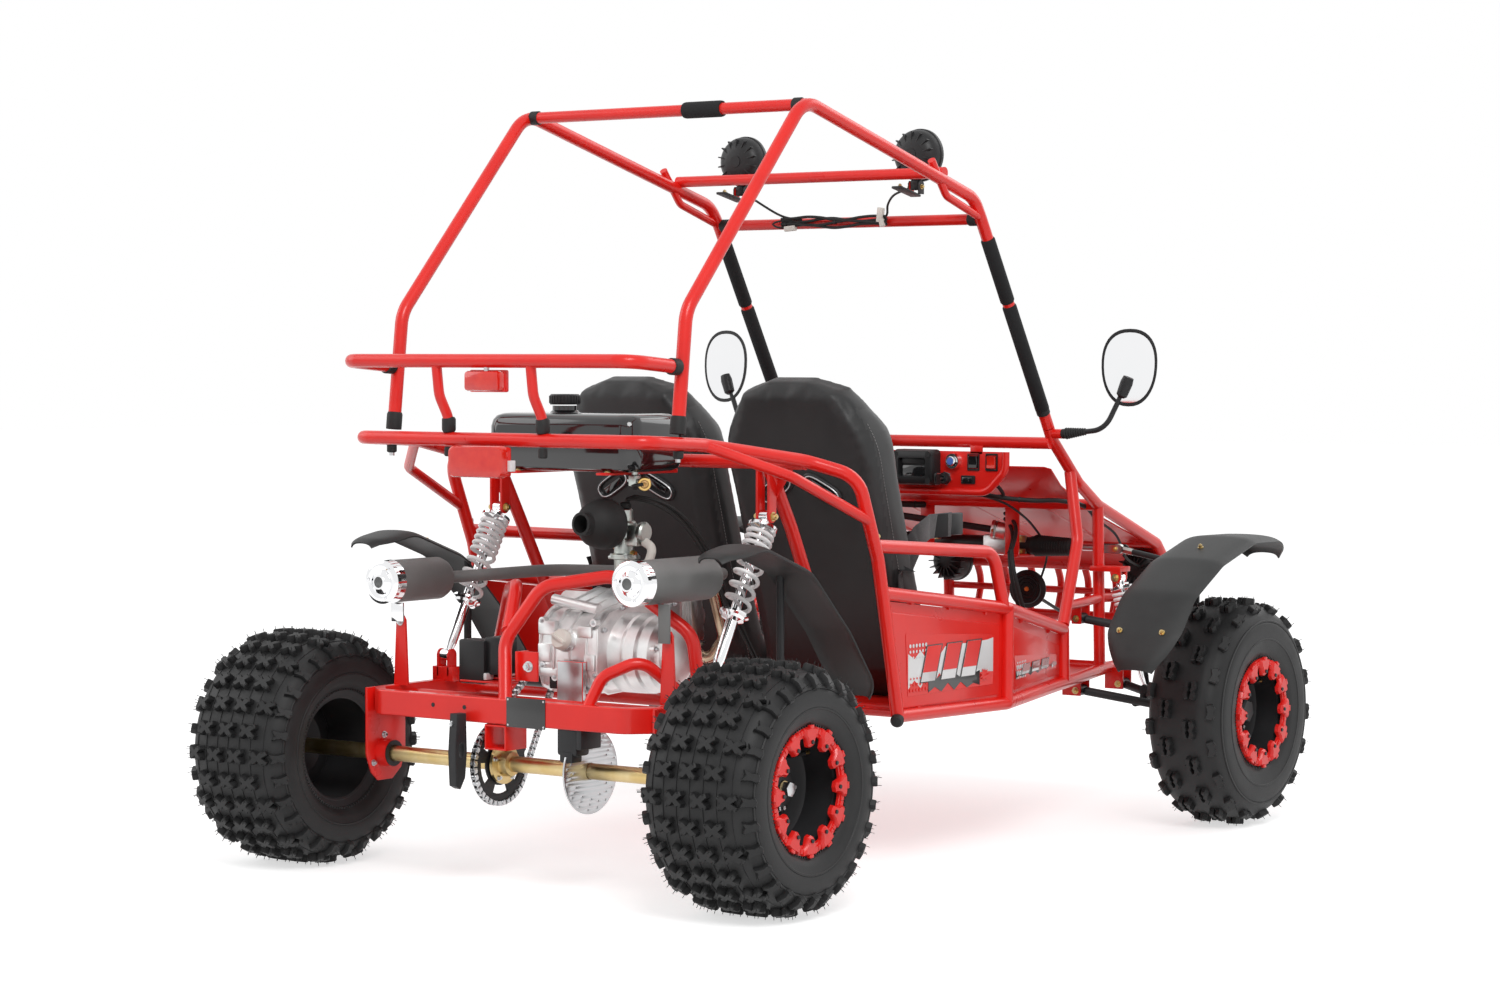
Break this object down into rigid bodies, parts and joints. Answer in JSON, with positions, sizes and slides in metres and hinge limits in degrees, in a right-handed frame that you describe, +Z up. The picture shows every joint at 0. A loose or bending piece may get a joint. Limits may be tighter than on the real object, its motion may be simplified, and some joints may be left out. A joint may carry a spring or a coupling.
{
  "type": "off road go kart",
  "caption": "Two-seat off road buggy kart: tube frame with bolted roll cage, sprung wishbones and steering in front, sprung swing arm with engine and axle behind.",
  "frame": {"origin": "middle of the base, where the tyres stand", "axes": "+X to the kart's right, +Y forwards, +Z up"},
  "size_m": [1.468, 2.1858, 1.4512],
  "materials": {
    "red_paint": "gloss red powder coat",
    "black_paint": "satin black",
    "tyre": "matte knobby rubber",
    "black_plastic": "satin moulded plastic",
    "vinyl": "black and grey seat vinyl",
    "red_lens": "clear red lens",
    "zinc": "yellow zinc plate",
    "steel": "bright steel",
    "spring_white": "white powder coat",
    "chrome": "bright chrome",
    "cast_aluminium": "cast aluminium"
  },
  "bodies": {
    "chassis": {"main_frame": "red_paint", "roll_cage": "red_paint", "rear_rack": "red_paint", "fuel_tank": "black_plastic", "seat_left": "vinyl", "seat_right": "vinyl", "dashboard": "red_paint", "steering_box": "steel", "tail_light": "red_lens"},
    "swing": {"swing_arm": "red_paint", "engine": "cast_aluminium", "exhaust": "black_paint", "rear_fender_left": "black_plastic", "rear_fender_right": "black_plastic", "drive_chain": "zinc"},
    "rear_wheels": {"rear_axle": "zinc", "rear_sprocket": "zinc", "brake_disc": "steel", "rear_tyre_left": "tyre", "rear_tyre_right": "tyre", "rear_rim_left": "black_paint", "rear_rim_right": "black_paint"},
    "steering_wheel": {"steering_wheel": "black_plastic"},
    "steering_shaft": {"steering_shaft": "black_paint"},
    "rack": {"rack_bar": "steel"},
    "lower_arm_left": {"lower_arm_left": "black_paint"},
    "upper_arm_left": {"upper_arm_left": "black_paint"},
    "carrier_left": {"kingpin_carrier_left": "black_paint"},
    "knuckle_left": {"knuckle_left": "black_paint", "front_fender_left": "black_plastic"},
    "front_wheel_left": {"front_tyre_left": "tyre", "front_rim_left": "black_paint"},
    "tie_rod_left": {"tie_rod_left": "black_paint"},
    "front_shock_top_left": {"front_shock_spring_left": "spring_white"},
    "front_shock_low_left": {"front_shock_tube_left": "chrome"},
    "rear_shock_top_left": {"rear_shock_spring_left": "spring_white"},
    "rear_shock_low_left": {"rear_shock_tube_left": "chrome"},
    "mirror_left": {"mirror_left": "black_plastic"},
    "roof_lamp_left": {"roof_lamp_left": "black_plastic"},
    "lower_arm_right": {"lower_arm_right": "black_paint"},
    "upper_arm_right": {"upper_arm_right": "black_paint"},
    "carrier_right": {"kingpin_carrier_right": "black_paint"},
    "knuckle_right": {"knuckle_right": "black_paint", "front_fender_right": "black_plastic"},
    "front_wheel_right": {"front_tyre_right": "tyre", "front_rim_right": "black_paint"},
    "tie_rod_right": {"tie_rod_right": "black_paint"},
    "front_shock_top_right": {"front_shock_spring_right": "spring_white"},
    "front_shock_low_right": {"front_shock_tube_right": "chrome"},
    "rear_shock_top_right": {"rear_shock_spring_right": "spring_white"},
    "rear_shock_low_right": {"rear_shock_tube_right": "chrome"},
    "mirror_right": {"mirror_right": "black_plastic"},
    "roof_lamp_right": {"roof_lamp_right": "black_plastic"},
    "brake_pedal": {"brake_pedal": "black_paint"},
    "throttle_pedal": {"throttle_pedal": "black_paint"},
    "fuel_cap": {"fuel_cap": "black_plastic"},
    "start_button": {"start_button": "chrome"},
    "ignition_key": {"ignition_key": "black_plastic"},
    "light_switch": {"light_switch": "black_plastic"},
    "kill_switch": {"kill_switch": "red_lens"}
  },
  "joints": [
    {"name": "swing_arm_pivot", "type": "hinge", "parent": "chassis", "child": "swing", "pos_m": [0, -0.38876, 0.33], "axis": [-1, 0, 0], "range_deg": [0, 7], "stiffness_Nm_per_rad": 4500, "springref_deg": -8.59},
    {"name": "rear_axle_spin", "type": "hinge", "parent": "swing", "child": "rear_wheels", "pos_m": [0, -0.86876, 0.22411], "axis": [1, 0, 0], "continuous": true},
    {"name": "steering_wheel_turn", "type": "hinge", "parent": "chassis", "child": "steering_wheel", "pos_m": [-0.195, 0.40124, 0.784], "axis": [0, 0.788, -0.6157], "range_deg": [-86.64, 86.64]},
    {"name": "steering_shaft_turn", "type": "hinge", "parent": "chassis", "child": "steering_shaft", "pos_m": [-0.195, 0.59825, 0.63009], "axis": [0.9096, 0.392, -0.1373], "range_deg": [-86.64, 86.64]},
    {"name": "rack_slide", "type": "slide", "parent": "chassis", "child": "rack", "axis": [1, 0, 0], "range_m": [-0.0213, 0.0213]},
    {"name": "lower_arm_swing_left", "type": "hinge", "parent": "chassis", "child": "lower_arm_left", "pos_m": [-0.345, 0.66274, 0.268], "axis": [0, 1, 0], "range_deg": [0, 15], "stiffness_Nm_per_rad": 500, "springref_deg": -14.32},
    {"name": "upper_arm_swing_left", "type": "hinge", "parent": "chassis", "child": "upper_arm_left", "pos_m": [-0.345, 0.66274, 0.42], "axis": [0, 1, 0], "range_deg": [0, 15]},
    {"name": "carrier_level_left", "type": "hinge", "parent": "lower_arm_left", "child": "carrier_left", "pos_m": [-0.53, 0.66274, 0.236], "axis": [0, 1, 0], "range_deg": [-15, 0]},
    {"name": "kingpin_turn_left", "type": "hinge", "parent": "carrier_left", "child": "knuckle_left", "pos_m": [-0.553, 0.66274, 0.29], "axis": [0, 0, -1], "range_deg": [-18.2, 18.2]},
    {"name": "front_wheel_spin_left", "type": "hinge", "parent": "knuckle_left", "child": "front_wheel_left", "pos_m": [-0.648, 0.66274, 0.23686], "axis": [1, 0, 0], "continuous": true},
    {"name": "tie_rod_swing_left", "type": "hinge", "parent": "rack", "child": "tie_rod_left", "pos_m": [-0.345, 0.73124, 0.56], "axis": [0, 1, 0], "range_deg": [0, 15]},
    {"name": "front_shock_lean_left", "type": "hinge", "parent": "chassis", "child": "front_shock_top_left", "pos_m": [-0.385, 0.66274, 0.503], "axis": [0, 1, 0], "range_deg": [0, 1.09]},
    {"name": "front_shock_stroke_left", "type": "slide", "parent": "front_shock_top_left", "child": "front_shock_low_left", "axis": [0.2877, 0, 0.9577], "range_m": [0, 0.02839], "deforming": ["front_shock_spring_left"]},
    {"name": "rear_shock_lean_left", "type": "hinge", "parent": "chassis", "child": "rear_shock_top_left", "pos_m": [-0.319, -0.54676, 0.676], "axis": [-1, 0, 0], "range_deg": [0, 1.97]},
    {"name": "rear_shock_stroke_left", "type": "slide", "parent": "rear_shock_top_left", "child": "rear_shock_low_left", "axis": [0, 0.4965, 0.8681], "range_m": [0, 0.03822], "deforming": ["rear_shock_spring_left"]},
    {"name": "mirror_tilt_left", "type": "hinge", "parent": "chassis", "child": "mirror_left", "pos_m": [-0.362, 0.46124, 0.812], "axis": [1, 0, 0], "range_deg": [-25, 25]},
    {"name": "roof_lamp_tilt_left", "type": "hinge", "parent": "chassis", "child": "roof_lamp_left", "pos_m": [-0.217, 0.11924, 1.314], "axis": [1, 0, 0], "range_deg": [-30, 30]},
    {"name": "lower_arm_swing_right", "type": "hinge", "parent": "chassis", "child": "lower_arm_right", "pos_m": [0.345, 0.66274, 0.268], "axis": [0, -1, 0], "range_deg": [0, 15], "stiffness_Nm_per_rad": 500, "springref_deg": -14.32},
    {"name": "upper_arm_swing_right", "type": "hinge", "parent": "chassis", "child": "upper_arm_right", "pos_m": [0.345, 0.66274, 0.42], "axis": [0, -1, 0], "range_deg": [0, 15]},
    {"name": "carrier_level_right", "type": "hinge", "parent": "lower_arm_right", "child": "carrier_right", "pos_m": [0.53, 0.66274, 0.236], "axis": [0, -1, 0], "range_deg": [-15, 0]},
    {"name": "kingpin_turn_right", "type": "hinge", "parent": "carrier_right", "child": "knuckle_right", "pos_m": [0.553, 0.66274, 0.29], "axis": [0, 0, -1], "range_deg": [-18.2, 18.2]},
    {"name": "front_wheel_spin_right", "type": "hinge", "parent": "knuckle_right", "child": "front_wheel_right", "pos_m": [0.648, 0.66274, 0.23686], "axis": [1, 0, 0], "continuous": true},
    {"name": "tie_rod_swing_right", "type": "hinge", "parent": "rack", "child": "tie_rod_right", "pos_m": [0.345, 0.73124, 0.56], "axis": [0, -1, 0], "range_deg": [0, 15]},
    {"name": "front_shock_lean_right", "type": "hinge", "parent": "chassis", "child": "front_shock_top_right", "pos_m": [0.385, 0.66274, 0.503], "axis": [0, -1, 0], "range_deg": [0, 1.09]},
    {"name": "front_shock_stroke_right", "type": "slide", "parent": "front_shock_top_right", "child": "front_shock_low_right", "axis": [-0.2877, 0, 0.9577], "range_m": [0, 0.02839], "deforming": ["front_shock_spring_right"]},
    {"name": "rear_shock_lean_right", "type": "hinge", "parent": "chassis", "child": "rear_shock_top_right", "pos_m": [0.319, -0.54676, 0.676], "axis": [-1, 0, 0], "range_deg": [0, 1.97]},
    {"name": "rear_shock_stroke_right", "type": "slide", "parent": "rear_shock_top_right", "child": "rear_shock_low_right", "axis": [0, 0.4965, 0.8681], "range_m": [0, 0.03822], "deforming": ["rear_shock_spring_right"]},
    {"name": "mirror_tilt_right", "type": "hinge", "parent": "chassis", "child": "mirror_right", "pos_m": [0.362, 0.46124, 0.812], "axis": [1, 0, 0], "range_deg": [-25, 25]},
    {"name": "roof_lamp_tilt_right", "type": "hinge", "parent": "chassis", "child": "roof_lamp_right", "pos_m": [0.217, 0.11924, 1.314], "axis": [1, 0, 0], "range_deg": [-30, 30]},
    {"name": "brake_pedal_press", "type": "hinge", "parent": "chassis", "child": "brake_pedal", "pos_m": [-0.255, 0.62124, 0.332], "axis": [-1, 0, 0], "range_deg": [0, 25], "stiffness_Nm_per_rad": 3, "springref_deg": -17.19},
    {"name": "throttle_pedal_press", "type": "hinge", "parent": "chassis", "child": "throttle_pedal", "pos_m": [-0.15, 0.62124, 0.332], "axis": [-1, 0, 0], "range_deg": [0, 25], "stiffness_Nm_per_rad": 3, "springref_deg": -17.19},
    {"name": "fuel_cap_turn", "type": "hinge", "parent": "chassis", "child": "fuel_cap", "pos_m": [-0.05, -0.67876, 0.885], "axis": [0, 0, 1], "range_deg": [0, 120]},
    {"name": "start_button_press", "type": "slide", "parent": "chassis", "child": "start_button", "axis": [0, 1, 0], "range_m": [0, 0.0035], "stiffness_N_per_m": 400, "springref_m": -0.003},
    {"name": "ignition_key_turn", "type": "hinge", "parent": "chassis", "child": "ignition_key", "pos_m": [0.086, 0.43124, 0.714], "axis": [0, 1, 0], "range_deg": [0, 60]},
    {"name": "light_switch_rock", "type": "hinge", "parent": "chassis", "child": "light_switch", "pos_m": [0.154, 0.44974, 0.75], "axis": [1, 0, 0], "range_deg": [-6, 6]},
    {"name": "kill_switch_rock", "type": "hinge", "parent": "chassis", "child": "kill_switch", "pos_m": [0.199, 0.44974, 0.75], "axis": [1, 0, 0], "range_deg": [-6, 6]}
  ],
  "couplings": [
    {"joint": "steering_shaft_turn", "follows": "steering_wheel_turn", "ratio": 1},
    {"joint": "rack_slide", "follows": "steering_wheel_turn", "m_per_rad": 0.014},
    {"joint": "upper_arm_swing_left", "follows": "lower_arm_swing_left", "ratio": 1},
    {"joint": "carrier_level_left", "follows": "lower_arm_swing_left", "ratio": -1},
    {"joint": "tie_rod_swing_left", "follows": "lower_arm_swing_left", "ratio": 1},
    {"joint": "front_shock_lean_left", "follows": "lower_arm_swing_left", "ratio": 0.07264},
    {"joint": "front_shock_stroke_left", "follows": "lower_arm_swing_left", "m_per_rad": 0.10844},
    {"joint": "rear_shock_lean_left", "follows": "swing_arm_pivot", "ratio": 0.28109},
    {"joint": "rear_shock_stroke_left", "follows": "swing_arm_pivot", "m_per_rad": 0.3128},
    {"joint": "kingpin_turn_left", "follows": "steering_wheel_turn", "ratio": 0.20776},
    {"joint": "upper_arm_swing_right", "follows": "lower_arm_swing_right", "ratio": 1},
    {"joint": "carrier_level_right", "follows": "lower_arm_swing_right", "ratio": -1},
    {"joint": "tie_rod_swing_right", "follows": "lower_arm_swing_right", "ratio": 1},
    {"joint": "front_shock_lean_right", "follows": "lower_arm_swing_right", "ratio": 0.07264},
    {"joint": "front_shock_stroke_right", "follows": "lower_arm_swing_right", "m_per_rad": 0.10844},
    {"joint": "rear_shock_lean_right", "follows": "swing_arm_pivot", "ratio": 0.28109},
    {"joint": "rear_shock_stroke_right", "follows": "swing_arm_pivot", "m_per_rad": 0.3128},
    {"joint": "kingpin_turn_right", "follows": "steering_wheel_turn", "ratio": 0.20776}
  ]
}
